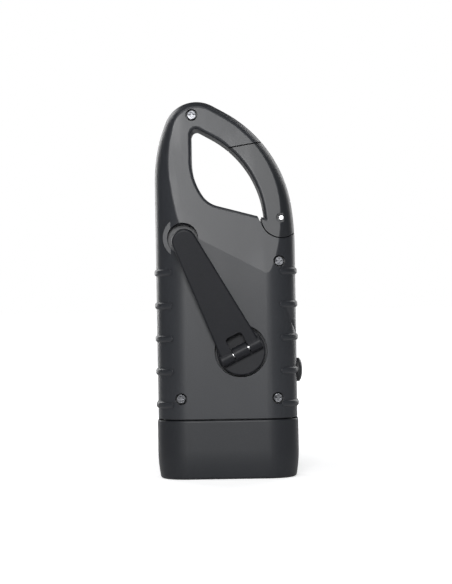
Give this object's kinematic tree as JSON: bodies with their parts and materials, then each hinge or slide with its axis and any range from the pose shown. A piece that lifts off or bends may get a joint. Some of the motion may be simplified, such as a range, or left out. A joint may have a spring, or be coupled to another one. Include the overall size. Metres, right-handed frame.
{
  "type": "hand crank flashlight",
  "caption": "Pocket torch with a ribbed hollow body, a folding hand crank that drives an inner generator, a three lamp head and a sprung gated carabiner loop.",
  "frame": {"origin": "centre of the lens rim plane, on the axis of the head", "axes": "+Z from the lens towards the carabiner loop, -Y out of the crank side, +X towards the button"},
  "size_m": [0.0526, 0.0378, 0.135],
  "materials": {
    "body": "satin",
    "gate": "satin",
    "head": "satin",
    "crank": "satin",
    "knob": "satin",
    "button": "matte",
    "lens": "clear",
    "reflector": "polished",
    "led": "clear",
    "circuit_board": "satin",
    "seal": "matte",
    "screw": "bright",
    "pin": "bright",
    "spring": "bright",
    "steel": "satin",
    "gear": "satin",
    "brass": "satin",
    "plate": "satin",
    "can": "satin",
    "winding": "satin",
    "magnet": "satin",
    "component": "gloss",
    "cell": "bright",
    "contact": "bright",
    "lead": "gloss"
  },
  "bodies": {
    "root": {"front_shell": "body", "rear_shell": "body", "shell_screws": "screw", "head_bezel": "head", "head_seal": "seal", "lens": "lens", "reflector": "reflector", "leds": "led", "led_board": "circuit_board", "gate_pin": "pin", "gate_spring": "spring", "gear_axles": "steel", "gearbox_plate": "plate", "plate_screws": "screw", "generator_can": "can", "stator_coil": "winding", "main_board": "circuit_board", "board_components": "component", "board_screws": "screw", "switch_body": "component", "battery_cell": "cell", "battery_contacts": "contact", "generator_leads": "lead", "battery_leads": "lead", "lamp_leads": "lead"},
    "hub": {"crank_disc": "crank", "crank_shaft": "steel", "drive_gear": "gear", "gear_screw": "screw", "gear_washer": "steel"},
    "arm": {"crank_arm": "crank", "hinge_pin": "pin", "knob_pin": "pin"},
    "knob": {"crank_knob": "knob"},
    "first_gear": {"gear_1": "gear"},
    "second_gear": {"gear_2": "gear"},
    "rotor": {"rotor_shaft": "steel", "rotor_pinion": "brass", "rotor_magnet": "magnet"},
    "gate": {"gate": "gate"},
    "button": {"button": "button", "switch_plunger": "knob"}
  },
  "joints": [
    {"name": "crank_spin", "type": "hinge", "parent": "root", "child": "hub", "pos_m": [0.005, 0, 0.0455], "axis": [0, -1, 0], "continuous": true},
    {"name": "arm_fold", "type": "hinge", "parent": "hub", "child": "arm", "pos_m": [0.005, -0.0165, 0.0455], "axis": [0.8949, 0, 0.4463], "range_deg": [-6.5, 173.5]},
    {"name": "knob_spin", "type": "hinge", "parent": "arm", "child": "knob", "pos_m": [-0.01442, -0.02146, 0.08444], "axis": [0.0505, -0.9936, -0.1013], "continuous": true},
    {"name": "gate_swing", "type": "hinge", "parent": "root", "child": "gate", "pos_m": [0.02, 0, 0.0927], "axis": [0, -1, 0], "range_deg": [0, 25], "stiffness_Nm_per_rad": 0.03, "springref_deg": -20.05},
    {"name": "button_press", "type": "slide", "parent": "root", "child": "button", "axis": [-1, 0, 0], "range_m": [0, 0.0012], "stiffness_N_per_m": 900, "springref_m": -0.0006},
    {"name": "first_gear_spin", "type": "hinge", "parent": "root", "child": "first_gear", "pos_m": [-0.00915, 0, 0.04038], "axis": [0, -1, 0], "continuous": true},
    {"name": "second_gear_spin", "type": "hinge", "parent": "root", "child": "second_gear", "pos_m": [-0.0081, 0, 0.05238], "axis": [0, -1, 0], "continuous": true},
    {"name": "rotor_spin", "type": "hinge", "parent": "root", "child": "rotor", "pos_m": [-0.00119, 0, 0.06225], "axis": [0, -1, 0], "continuous": true}
  ],
  "couplings": [
    {"joint": "first_gear_spin", "follows": "crank_spin", "ratio": -4},
    {"joint": "second_gear_spin", "follows": "crank_spin", "ratio": 12},
    {"joint": "rotor_spin", "follows": "crank_spin", "ratio": -36}
  ]
}
